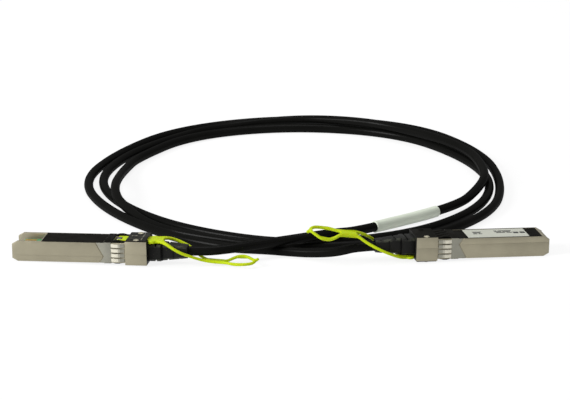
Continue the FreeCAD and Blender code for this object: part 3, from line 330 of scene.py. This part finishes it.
def make_materials():
    """All materials by a short name, with linear colours and with reliefs in micrometres."""
    metal = {"metallic": 1.0}
    rolled = (1, 6, 6)
    made = {
        "nickel": Material("nickel_plate", (0.345, 0.316, 0.228), 0.38, metallic=0.65, specular_ior_level=0.3)
        .mottle(120, (0.31, 0.284, 0.206)).wear(400, 0.36, 0.5).bump(3500, 8).bump(260, 20),
        "spring": Material("spring_sheet", (0.28, 0.275, 0.225), 0.4, metallic=0.5, specular_ior_level=0.25)
        .mottle(300, (0.25, 0.245, 0.205)).wear(900, 0.3, 0.42).bump(2500, 4, stretch=rolled),
        # The side fingers' painted highlights: a paler one behind the bulge and a bright one on the front of
        # each bulge.
        "heel": Material("finger_painted_half_light", (0.42, 0.405, 0.335), 0.38, metallic=0.4, specular_ior_level=0.3)
        .mottle(500, (0.36, 0.345, 0.285)).bump(2500, 4, stretch=rolled),
        "finger": Material("finger_painted_highlight", (0.66, 0.63, 0.52), 0.35, metallic=0.35, specular_ior_level=0.4)
        .mottle(500, (0.57, 0.545, 0.45)).wear(900, 0.22, 0.34).bump(2500, 4, stretch=rolled),
        "card": Material("solder_mask", (0.02, 0.20, 0.07), 0.3, coat_weight=0.4)
        .mottle(600, (0.04, 0.28, 0.10)).bump(1800, 10),
        "gold": Material("gold_plate", (0.90, 0.50, 0.12), 0.28, **metal)
        .mottle(1200, (0.80, 0.42, 0.10)).bump(3000, 10),
        "resin": Material("chip_resin", (0.012, 0.012, 0.013), 0.5)
        .mottle(900, (0.02, 0.02, 0.02)).bump(4000, 20),
        "ceramic": Material("capacitor_ceramic", (0.30, 0.17, 0.09), 0.45)
        .mottle(1500, (0.22, 0.12, 0.07)).bump(3000, 10),
        "foil": Material("pair_foil", (0.72, 0.73, 0.75), 0.3, **metal)
        .mottle(500, (0.6, 0.6, 0.62)).bump(900, 60, stretch=(4, 1, 1)),
        "ferrule": Material("ferrule_metal", (0.62, 0.50, 0.32), 0.35, **metal)
        .mottle(500, (0.5, 0.4, 0.26)).bump(1500, 30),
        "boot": Material("boot_rubber", (0.0068, 0.0068, 0.006), 0.5, specular_ior_level=0.12)
        .mottle(150, (0.0095, 0.0095, 0.0085)).wear(300, 0.42, 0.6).bump(2600, 30).bump(500, 50),
        # Lighter rubber with darker patches for the boot's sloping shoulders: a painted highlight.
        "shoulder": Material("boot_shoulder", (0.034, 0.036, 0.026), 0.5, specular_ior_level=0.12)
        .mottle(330, (0.009, 0.009, 0.008), low=0.45, high=0.6).bump(2600, 30).bump(500, 50),
        "latch": Material("latch_steel", (0.30, 0.29, 0.27), 0.32, **metal)
        .mottle(500, (0.2, 0.2, 0.19)).wear(700, 0.25, 0.45).bump(2500, 30),
        # The latch cover: near-black, a painted dark reflection, with faint lighter streaks as painted
        # highlights.
        "cover": Material("cover_dark_reflection", (0.009, 0.0085, 0.007), 0.5, specular_ior_level=0.08)
        .mottle(420, (0.03, 0.028, 0.022), low=0.5, high=0.7, stretch=(0.6, 1, 1))
        .wear(500, 0.4, 0.6).bump(450, 100).bump(2500, 30),
        # Lighter metal for the cover's edges, rear rib and bead: a painted highlight.
        "cover_highlight": Material("cover_painted_highlight", (0.17, 0.16, 0.12), 0.4, metallic=0.5)
        .mottle(700, (0.03, 0.028, 0.022), low=0.45, high=0.6).bump(2500, 20),
        "rivet": Material("rivet_metal", (0.38, 0.352, 0.26), 0.45, metallic=0.6, specular_ior_level=0.3)
        .mottle(700, (0.31, 0.29, 0.215)).bump(1800, 20),
        # Black for the broad metal faces and the CAD model's black sheets on them: a painted dark reflection.
        "film_dark_reflection": Material("black_film", (0.0055, 0.0052, 0.0041), 0.55, specular_ior_level=0.01)
        .mottle(120, (0.0085, 0.008, 0.0065)).wear(250, 0.42, 0.58).bump(900, 10),
        "label": Material("white_label", (0.47, 0.48, 0.415), 0.45, specular_ior_level=0.2)
        .mottle(60, (0.43, 0.44, 0.38)).bump(1500, 10).bump(150, 20),
        "ink": Material("label_ink", (0.02, 0.02, 0.02), 0.5, specular_ior_level=0.1)
        .mottle(2000, (0.05, 0.05, 0.05)).bump(2500, 10),
        "strap": Material("lime_strap", (0.42, 0.53, 0.005), 0.5, specular_ior_level=0.1,
                          subsurface_weight=0.12, subsurface_scale=0.8 * MM)
        .mottle(110, (0.385, 0.485, 0.004)).wear(300, 0.4, 0.5).bump(900, 6),
        "jacket": Material("cable_jacket", (0.0037, 0.0037, 0.0033), 0.4, specular_ior_level=0.0,
                           coat_weight=0.085, coat_roughness=0.3)
        .mottle(60, (0.005, 0.005, 0.0045)).wear(180, 0.34, 0.48).bump(1800, 12).bump(120, 60),
        "sleeve": Material("sleeve_film", (0.63, 0.68, 0.575), 0.42, specular_ior_level=0.3)
        .mottle(70, (0.59, 0.64, 0.54)).bump(900, 30).bump(90, 100),
    }
    return {name: item.material for name, item in made.items()}


MATERIALS = make_materials()
# The CAD model's label and roof sheets get the black painted dark reflection.
NODE_MATERIAL = {
    "paddle_card": "card", "contact_pads": "gold", "eeprom_chip": "resin", "capacitors": "ceramic",
    "signal_wires": "foil", "crimp_ferrule": "ferrule", "latch_pin": "latch",
    "label_film": "film_dark_reflection", "roof_film": "film_dark_reflection", "white_label": "label",
}


def paint(piece, name):
    """Gives every face of a piece one material."""
    slots = piece.data.materials
    slots.clear()
    slots.append(MATERIALS[name])
    if piece.type == "MESH":
        for face in piece.data.polygons:
            face.material_index = 0


# ---- making meshes


def add_object(name, data):
    """A new object in the scene."""
    piece = bpy.data.objects.new(name, data)
    bpy.context.scene.collection.objects.link(piece)
    return piece


def add_shape(name, shape):
    """A new object from an edited mesh, which is given up."""
    mesh = bpy.data.meshes.new(name)
    shape.to_mesh(mesh)
    shape.free()
    return add_object(name, mesh)


def angles_round(count):
    """The angles of evenly spaced points round a circle."""
    return [math.tau * number / count for number in range(count)]


def skin(shape, rings):
    """Joins each ring of points to the next one with faces; a ring of one point is a tip."""
    for one, two in zip(rings, rings[1:]):
        count = max(len(one), len(two))
        for number in range(count):
            following = (number + 1) % count
            corners = [one[number % len(one)], one[following % len(one)],
                       two[following % len(two)], two[number % len(two)]]
            shape.faces.new(list(dict.fromkeys(corners)))


def add_spline(curve, points):
    """A smooth spline in a curve, whose control points are given in metres."""
    spline = curve.splines.new("NURBS")
    spline.points.add(len(points) - 1)
    for control, point in zip(spline.points, points):
        control.co = (*point, 1)
    spline.order_u = 3
    return spline


def smooth(piece, sharp_degrees=40.0):
    """Smooth shading that keeps edges sharper than an angle."""
    mesh = piece.data
    mesh.shade_smooth()
    mesh.set_sharp_from_angle(angle=math.radians(sharp_degrees))


def dress(piece, material, slot, body, *nodes):
    """Paints a finished piece, sets it on its body and lets it stand for CAD nodes."""
    paint(piece, material)
    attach(piece, body)
    if nodes:
        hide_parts(*nodes)
    return piece


def face_material(piece, end, name, chosen):
    """Another material on the faces that chosen picks by their normal and place in the plug's frame."""
    piece.data.materials.append(MATERIALS[name])
    back = PLUGS[end].inverted()
    for face in piece.data.polygons:
        if chosen(back.to_3x3() @ face.normal, back @ face.center / MM):
            face.material_index = len(piece.data.materials) - 1


def is_dark_reflection_face(normal, place):
    """Whether a face of a shell lies on one of the plug's broad faces, painted black: a painted dark
    reflection.
    """
    if normal.z > 0.9 and place.z > BODY_HEIGHT - RIM:
        return place.x > ROOF_FILM_FRONT
    return normal.z < -0.9 and place.z < RIM and place.x > LABEL_FILM_FRONT


def is_collar_dark_reflection(normal, place):
    """Whether a face of the collar belongs to what lies on a broad face, painted black: a painted dark
    reflection.
    """
    return not TOUCH < place.z < BODY_HEIGHT - TOUCH


def is_rear(normal, place):
    """Whether a face of a shell is on the rear end, which is as black as the boot."""
    return place.x > REAR - 2 * RIM and normal.x > 0.3 and abs(normal.y) < 0.3


def is_finger_highlight(normal, place):
    """Whether a face of the collar is on the front part of a side finger, which gets a bright painted
    highlight.
    """
    return abs(normal.y) > 0.6 and FINGER_HIGHLIGHT_FRONT < place.x < HALF_LIGHT_FRONT


def is_finger_half_light(normal, place):
    """Whether a face of the collar is on a side finger, between its bright front and its dull tail, where it
    gets a paler painted highlight.
    """
    return abs(normal.y) > 0.6 and HALF_LIGHT_FRONT < place.x < HALF_LIGHT_END


def is_cover_highlight(normal, place):
    """Whether a face of the latch cover is an edge or the top of the rear rib, which gets a painted
    highlight.
    """
    if place.z > COVER_TOP + TOUCH and place.x < RIVET_ALONG:
        return False
    return 0.2 < normal.z < 0.9 or (normal.z > 0.9 and place.z > COVER_TOP + HIGHLIGHT_HEIGHT)


def is_rivet_dark_reflection(normal, place):
    """Whether a face of the rivets is on the one head of the label side that is painted black like the broad
    faces, a painted dark reflection.
    """
    return place.z < 0 and place.y > 0


def is_shoulder_highlight(normal, place):
    """Whether a face of the boot is on one of the two sloping shoulders of a broad side, which gets a painted
    highlight.
    """
    return 0.35 < abs(normal.z) < 0.95 and abs(normal.y) > 0.3 and place.x > REAR + 1.0


def solid_copy(node):
    """A CAD node's mesh for editing, with the corners that its faces share joined."""
    shape = bmesh.new()
    shape.from_mesh(frame["nodes"][node].data)
    bmesh.ops.remove_doubles(shape, verts=shape.verts, dist=WELD)
    return shape


def round_edges(shape, radius, shortest=0.0):
    """Joins flat facets, then rounds the hard edges longer than shortest; both lengths are in millimetres."""
    bmesh.ops.dissolve_limit(shape, angle_limit=FLAT_ANGLE, verts=shape.verts, edges=shape.edges)
    hard = [edge for edge in shape.edges if len(edge.link_faces) == 2
            and edge.calc_face_angle(0) > HARD_ANGLE and edge.calc_length() > shortest * MM]
    bmesh.ops.bevel(shape, geom=hard, offset=radius * MM, offset_type="OFFSET", segments=2, profile=0.5,
                    affect="EDGES", clamp_overlap=True)


def cut_across(shape, end, x, **options):
    """Cuts a shape in the plane across a plug at x along it."""
    facing = PLUGS[end].to_3x3() @ Vector((1, 0, 0))
    return bmesh.ops.bisect_plane(shape, geom=shape.verts[:] + shape.edges[:] + shape.faces[:],
                                  plane_co=PLUGS[end] @ Vector((x * MM, 0, 0)), plane_no=facing, **options)


def order_faces(shape):
    """Sorts the faces by their first two corners, since a cut leaves them in another order each run."""
    shape.verts.index_update()
    count = len(shape.verts)
    shape.faces.sort(key=lambda face: face.verts[0].index * count + face.verts[1].index)


def softened(name, end, material, slot, body=ROOT, cuts=()):
    """A copy of one plug's CAD node with its hard edges rounded, which stands for it.

    It is also cut across at the given places along its plug, so that they can part two materials.
    """
    node = f"{name}_{end}"
    shape = solid_copy(node)
    round_edges(shape, EDGE_RADIUS[name], shortest=EDGE_RADIUS[name])
    for along in cuts:
        cut_across(shape, end, along)
    if cuts:
        order_faces(shape)
    piece = add_shape(f"soft_{node}", shape)
    smooth(piece)
    return dress(piece, material, slot, body, node)


# ---- the cable and its sleeve


def cable_route():
    """The points that the cable follows, in millimetres."""
    stations = (FERRULE_FRONT, REAR + EXIT_RUN)
    points = [PLUGS["a"] @ Vector((x * MM, 0, CABLE_AXIS * MM)) / MM for x in stations]
    points += [Vector(point) for point in LEAD_FROM_A]
    for turn in TURNS:
        for degrees, radius, height in turn:
            angle = math.radians(degrees)
            points.append(Vector((COIL_MIDDLE[0] + radius * math.cos(angle),
                                  COIL_MIDDLE[1] + radius * math.sin(angle), height)))
    points += [Vector(point) for point in LEAD_TO_B]
    points += [PLUGS["b"] @ Vector((x * MM, 0, CABLE_AXIS * MM)) / MM for x in reversed(stations)]
    return points


def cable_curve(name, steps):
    """The cable's smooth line as a curve, with a number of steps from point to point."""
    curve = bpy.data.curves.new(name, "CURVE")
    curve.dimensions = "3D"
    curve.resolution_u = steps
    add_spline(curve, [point * MM for point in cable_route()]).use_endpoint_u = True
    return curve


def make_cable():
    """The jacket: one round cable from plug to plug."""
    curve = cable_curve("cable_line", CABLE_STEPS)
    curve.bevel_depth = CABLE_DIAMETER / 2 * MM
    curve.bevel_resolution = 6
    curve.use_fill_caps = True
    return dress(add_object("cable_jacket", curve), "jacket", "cable_jacket", ROOT, "cable")


def line_points():
    """Points along the cable's smooth line, in metres."""
    holder = add_object("cable_centre", cable_curve("cable_centre", MEASURE_STEPS))
    mesh = bpy.data.meshes.new_from_object(holder)
    points = [vertex.co.copy() for vertex in mesh.vertices]
    bpy.data.objects.remove(holder)
    bpy.data.meshes.remove(mesh)
    return points


def stretch_of(points, middle, length):
    """The stretch of a line of points that is length long, about its point nearest to middle."""
    nearest = min(range(len(points)), key=lambda i: (points[i] - middle).length)
    found = [points[nearest]]
    for step in (-1, 1):
        place, left = nearest, length / 2
        side = []
        while left > 0:
            run = points[place + step] - points[place]
            if run.length > left:
                side.append(points[place] + run * (left / run.length))
                break
            side.append(points[place + step])
            left -= run.length
            place += step
        found = side[::-1] + found if step < 0 else found + side
    return found


def make_sleeve():
    """The sleeve: a thin tube round the cable, a little wavy, with a lapped seam."""
    start, end = (Vector(point) * MM for point in LEAD_FROM_A[-2:])
    middle = (start + end) / 2 + (start - end).normalized() * SLEEVE_SHIFT * MM
    line = stretch_of(line_points(), middle, SLEEVE_LENGTH * MM)
    last = len(line) - 1
    inner = (CABLE_DIAMETER / 2 + SLEEVE_CLEAR) * MM
    outer = (CABLE_DIAMETER / 2 + SLEEVE_WALL) * MM
    rim = SLEEVE_RIM * MM
    stations = [(0, inner, 0.0), (0, outer - rim, 0.0), (0, outer, rim)]
    stations += [(index, outer, 0.0) for index in range(1, last)]
    stations += [(last, outer, -rim), (last, outer - rim, 0.0), (last, inner, 0.0)]

    def swell(here, angle):
        """How far the outside stands out: the lap of the seam and a slight wave."""
        lap = SEAM_LIFT * MM * math.exp(-((angle - SEAM_ANGLE) / SEAM_SPREAD) ** 2)
        return lap + WAVE_LIFT * MM * (noise.noise(here * WAVES + Vector((angle, 0, 0))) - WAVE_REST)

    def ring(shape, index, radius, shift):
        """The points of the tube round one point of its line."""
        here = line[index]
        along = (line[min(index + 1, last)] - line[max(index - 1, 0)]).normalized()
        side = along.cross(Vector((0, 0, 1))).normalized()
        up = side.cross(along)
        corners = []
        for angle in angles_round(SLEEVE_SIDES):
            reach = radius + (swell(here, angle) if radius > inner else 0.0)
            corners.append(shape.verts.new(here + along * shift + side * math.cos(angle) * reach
                                           + up * math.sin(angle) * reach))
        return corners

    shape = bmesh.new()
    rings = [ring(shape, *station) for station in stations]
    skin(shape, [*rings, rings[0]])
    bmesh.ops.recalc_face_normals(shape, faces=shape.faces)
    sleeve = add_shape("sleeve_tube", shape)
    smooth(sleeve, 50)
    return dress(sleeve, "sleeve", "sleeve_film", ROOT, "label_sleeve")


# ---- the pull strap


def mirrored(half):
    """A whole outline from its half, which runs from the front to the rear."""
    return list(half) + [(x, -y) for x, y in reversed(half) if y]


def strap_lay(end, x):
    """The strap's middle height and its slope across, x along the plug, averaged so that it bends softly."""
    marks = STRAP_LAY[end]
    height = slope = 0.0
    for shift in STRAP_SPREAD:
        place = min(max(x + shift, marks[0][0]), marks[-1][0])
        for one, two in zip(marks, marks[1:]):
            if place <= two[0]:
                share = (place - one[0]) / (two[0] - one[0])
                height += one[1] + (two[1] - one[1]) * share
                slope += one[2] + (two[2] - one[2]) * share
                break
    return height / len(STRAP_SPREAD), slope / len(STRAP_SPREAD)


def strap_stations(end):
    """Along the lying strap: its length so far, the place along the plug, the height and both slopes."""
    x = STRAP_LAY[end][0][0]
    run = x
    stations = []
    while x < STRAP_LAY[end][-1][0]:
        height, across = strap_lay(end, x)
        rise = (strap_lay(end, x + STRAP_STEP)[0] - height) / STRAP_STEP
        stations.append((run, x, height, rise, across))
        run += STRAP_STEP * math.hypot(1.0, rise)
        x += STRAP_STEP
    return stations


def flat_strap(end):
    """The mesh of a strap that lies flat, with rounded edges."""
    curve = bpy.data.curves.new(f"strap_plan_{end}", "CURVE")
    curve.dimensions = "2D"
    curve.fill_mode = "BOTH"
    curve.resolution_u = 10
    curve.bevel_depth = STRAP_EDGE * MM
    curve.bevel_resolution = 3
    curve.offset = -STRAP_EDGE * MM
    curve.extrude = STRAP_THICK / 2 * MM - STRAP_EDGE * MM
    for half in (STRAP_OUTLINE, STRAP_OPENING, STRAP_EYE):
        add_spline(curve, [(x * MM, y * MM, 0) for x, y in mirrored(half)]).use_cyclic_u = True
    holder = add_object(f"strap_plan_{end}", curve)
    mesh = bpy.data.meshes.new_from_object(holder.evaluated_get(bpy.context.evaluated_depsgraph_get()))
    bpy.data.objects.remove(holder)
    return mesh


def make_strap(end):
    """The soft part of the pull tab, laid along its plug."""
    mesh = flat_strap(end)
    stations = strap_stations(end)
    for vertex in mesh.vertices:
        run, y, lift = vertex.co / MM
        number = next((i for i, item in enumerate(stations) if item[0] >= run), len(stations) - 1)
        one, two = stations[max(number - 1, 0)], stations[number]
        apart = max(two[0] - one[0], MICRON)
        share = min(max((run - one[0]) / apart, 0.0), 1.0)
        x, height, rise, across = (low + (high - low) * share for low, high in zip(one[1:], two[1:]))
        x += min(run - stations[0][0], 0.0)  # in front of the first station the strap runs straight on
        out = Vector((-rise, -across, 1.0)).normalized()
        vertex.co = (Vector((x, y, height + across * y)) + out * lift) * MM
    mesh.transform(PLUGS[end])
    strap = add_object(f"strap_{end}", mesh)
    smooth(strap, 60)
    dress(strap, "strap", "lime_strap", f"tab_{end}", f"pull_tab_{end}")


def make_slider(end):
    """The slider in the latch channel: the part of the pull tab in front of the rear face."""
    shape = solid_copy(f"pull_tab_{end}")
    cut = cut_across(shape, end, REAR - TOUCH, clear_outer=True)
    bmesh.ops.holes_fill(shape, edges=[e for e in cut["geom_cut"] if isinstance(e, bmesh.types.BMEdge)])
    round_edges(shape, EDGE_RADIUS["pull_tab"])
    slider = add_shape(f"slider_{end}", shape)
    smooth(slider)
    dress(slider, "strap", "lime_strap", f"tab_{end}", f"pull_tab_{end}")


# ---- the marks on the label


def make_marks(end):
    """Plain dark bars and squares on the white label, which stand for no words."""
    shape = bmesh.new()
    for x, y, length, tall in LABEL_MARKS:
        centre = Vector(((x + length / 2) * MM, y * MM, -INK * MM / 2))
        span = (length * MM, tall * MM, INK * MM)
        matrix = PLUGS[end] @ Matrix.Translation(centre) @ Matrix.Diagonal((*span, 1))
        bmesh.ops.create_cube(shape, size=1, matrix=matrix)
    dress(add_shape(f"label_bars_{end}", shape), "ink", "white_label", ROOT)


# ---- the latch's cover plate, rivets and spring


def make_bead(end):
    """A short pressed bead along the front of the latch's cover plate."""
    shape = bmesh.new()
    rings = []
    for lift, share in BEAD_RINGS:
        run = BEAD_HALF_WIDTH * share
        height = COVER_TOP - BEAD_SUNK + (BEAD_HEIGHT + BEAD_SUNK) * lift
        ring = []
        for angle in angles_round(BEAD_SIDES):
            centre = BEAD_REAR - BEAD_HALF_WIDTH if math.cos(angle) >= 0 else BEAD_FRONT + BEAD_HALF_WIDTH
            ring.append(shape.verts.new(at(
                end, centre + run * math.cos(angle), BEAD_ACROSS + run * math.sin(angle), height)))
        rings.append(ring)
    skin(shape, rings)
    shape.faces.new(rings[-1])
    shape.faces.new(rings[0][::-1])
    bmesh.ops.recalc_face_normals(shape, faces=shape.faces)
    bead = add_shape(f"cover_bead_{end}", shape)
    smooth(bead, 50)
    # The bead is painted lighter: a painted highlight streak.
    dress(bead, "cover_highlight", "cover_paint", ROOT)


def make_rivets(end):
    """Two turned rivets with domed heads, through the cover and both shells."""
    head, shank = RIVET_HEAD_RADIUS, RIVET_RADIUS
    foot = -BLOCK_DROP
    dome = [(share, RIVET_HEAD * (1 - share ** 3)) for share in DOME_RINGS]
    profile = [(0.0, foot - RIVET_HEAD)]
    profile += [(share * head, foot - lift) for share, lift in dome]
    profile += [(head, foot), (shank, foot), (shank, COVER_TOP), (head, COVER_TOP)]
    profile += [(share * head, COVER_TOP + lift) for share, lift in reversed(dome)]
    profile += [(0.0, COVER_TOP + RIVET_HEAD)]
    shape = bmesh.new()
    for side in (-1, 1):
        rings = []
        for radius, height in profile:
            angles = angles_round(RIVET_SIDES) if radius else [0.0]
            rings.append([shape.verts.new(at(
                end, RIVET_ALONG + radius * math.cos(angle),
                side * RIVET_ACROSS + radius * math.sin(angle), height)) for angle in angles])
        skin(shape, rings)
    bmesh.ops.recalc_face_normals(shape, faces=shape.faces)
    rivets = add_shape(f"rivets_{end}", shape)
    smooth(rivets, 50)
    dress(rivets, "rivet", "rivet_metal", ROOT, f"shell_rivets_{end}")
    # One head gets the black painted dark reflection.
    face_material(rivets, end, "film_dark_reflection", is_rivet_dark_reflection)


def make_spring(end):
    """The leaf spring under the latch's tail, a copy of its CAD node with a mesh of its own."""
    node = frame["nodes"][f"latch_spring_{end}"]
    spring = add_object(f"leaf_spring_{end}", node.data.copy())
    spring.matrix_world = node.matrix_world
    dress(spring, "spring", "spring_steel", ROOT, f"latch_spring_{end}")
    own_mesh(spring)


# ---- the whole part


def dress_plug(end):
    """Everything of one plug: the CAD nodes that are only painted, and the pieces that stand for the rest."""
    for name, material in NODE_MATERIAL.items():
        paint(frame["nodes"][f"{name}_{end}"], material)
    # The shells are cut where the black painted dark reflection of their broad faces starts.
    bottom = softened("bottom_shell", end, "nickel", "shell_metal", cuts=(LABEL_FILM_FRONT,))
    top = softened("top_shell", end, "nickel", "shell_metal", cuts=(ROOF_FILM_FRONT,))
    # The collar is cut where its fingers' painted highlights start, change and end.
    collar = softened("emi_collar", end, "spring", "spring_steel",
                      cuts=(FINGER_HIGHLIGHT_FRONT, HALF_LIGHT_FRONT, HALF_LIGHT_END))
    # The fingers get painted highlights: bright on the front of each bulge, paler behind it.
    face_material(collar, end, "finger", is_finger_highlight)
    face_material(collar, end, "heel", is_finger_half_light)
    # The collar's broad faces get the black painted dark reflection.
    face_material(collar, end, "film_dark_reflection", is_collar_dark_reflection)
    # The shells' broad faces get the black painted dark reflection too.
    for piece in (bottom, top):
        face_material(piece, end, "film_dark_reflection", is_dark_reflection_face)
        face_material(piece, end, "boot", is_rear)
    boot = softened("cable_boot", end, "boot", "boot_rubber")
    # The boot's sloping shoulders get a painted highlight.
    face_material(boot, end, "shoulder", is_shoulder_highlight)
    # The cover is near-black, a painted dark reflection, with faint painted highlight streaks.
    cover = softened("latch_cover", end, "cover", "cover_paint")
    # Its edges and rear rib get a painted highlight.
    face_material(cover, end, "cover_highlight", is_cover_highlight)
    make_bead(end)
    softened("latch_pawl", end, "latch", "latch_steel", body=f"pawl_{end}")
    make_strap(end)
    make_slider(end)
    make_marks(end)
    make_rivets(end)
    make_spring(end)


# ---- the studio


def seen_by(tree, first, *others):
    """A value that is one where a ray of these kinds looks, and zero for other rays."""
    path = tree.nodes.new("ShaderNodeLightPath")
    seen = path.outputs[first]
    for kind in others:
        either = tree.nodes.new("ShaderNodeMath")
        either.operation = "MAXIMUM"
        tree.links.new(seen, either.inputs[0])
        tree.links.new(path.outputs[kind], either.inputs[1])
        seen = either.outputs[0]
    return seen


def make_floor():
    """A pale floor, mostly white to the camera, that keeps a faint shadow."""
    bpy.ops.mesh.primitive_plane_add(size=FLOOR_WIDTH, location=FLOOR_PLACE)
    floor = bpy.context.object
    floor.name = "floor"
    material = bpy.data.materials.new("floor_paper")
    material.use_nodes = True
    tree = material.node_tree
    tree.nodes.clear()
    paper = tree.nodes.new("ShaderNodeBsdfDiffuse")
    paper.inputs["Color"].default_value = PAPER
    white = tree.nodes.new("ShaderNodeEmission")
    white.inputs["Color"].default_value = WHITE
    white.inputs["Strength"].default_value = 1.0
    share = tree.nodes.new("ShaderNodeMath")
    share.operation = "MULTIPLY"
    share.inputs[1].default_value = FLOOR_WHITENESS
    mix = tree.nodes.new("ShaderNodeMixShader")
    output = tree.nodes.new("ShaderNodeOutputMaterial")
    links = tree.links
    links.new(seen_by(tree, "Is Camera Ray", "Is Glossy Ray", "Is Transmission Ray"), share.inputs[0])
    links.new(share.outputs[0], mix.inputs["Fac"])
    links.new(paper.outputs[0], mix.inputs[1])
    links.new(white.outputs[0], mix.inputs[2])
    links.new(mix.outputs[0], output.inputs["Surface"])
    floor.data.materials.append(material)


def make_surroundings():
    """White all round to the camera, and a weaker light from every side on the part."""
    world = bpy.data.worlds.new("studio")
    bpy.context.scene.world = world
    world.use_nodes = True
    tree = world.node_tree
    background = tree.nodes["Background"]
    background.inputs["Color"].default_value = WHITE
    strength = tree.nodes.new("ShaderNodeMapRange")
    strength.inputs["To Min"].default_value = SURROUND_LIGHT
    strength.inputs["To Max"].default_value = 1.0
    tree.links.new(seen_by(tree, "Is Camera Ray", "Is Transmission Ray"), strength.inputs["Value"])
    tree.links.new(strength.outputs["Result"], background.inputs["Strength"])


def make_lamps():
    """Soft square lamps that all aim at the same point."""
    for name, place, width, power in LAMPS:
        lamp = bpy.data.lights.new(name, "AREA")
        lamp.size = width
        lamp.energy = power
        holder = add_object(name, lamp)
        holder.location = place
        holder.rotation_euler = (Vector(LAMP_AIM) - Vector(place)).to_track_quat("-Z", "Y").to_euler()


def make_camera():
    """The camera in front of the part, a little above it."""
    lens = bpy.data.cameras.new("camera")
    lens.sensor_width = CAMERA_SENSOR
    lens.lens = CAMERA_LENS
    lens.clip_start, lens.clip_end = 0.05, 20.0
    camera = add_object("camera", lens)
    target, elevation = Vector(CAMERA_TARGET), math.radians(CAMERA_ELEVATION)
    camera.location = target + Vector((0, -math.cos(elevation), math.sin(elevation))) * CAMERA_DISTANCE
    camera.rotation_euler = (target - camera.location).to_track_quat("-Z", "Y").to_euler()
    bpy.context.scene.camera = camera


make_camera()
cable = make_cable()
sleeve = make_sleeve()
for end in ENDS:
    dress_plug(end)
make_floor()
make_surroundings()
make_lamps()
bpy.context.scene.view_settings.view_transform = "Standard"
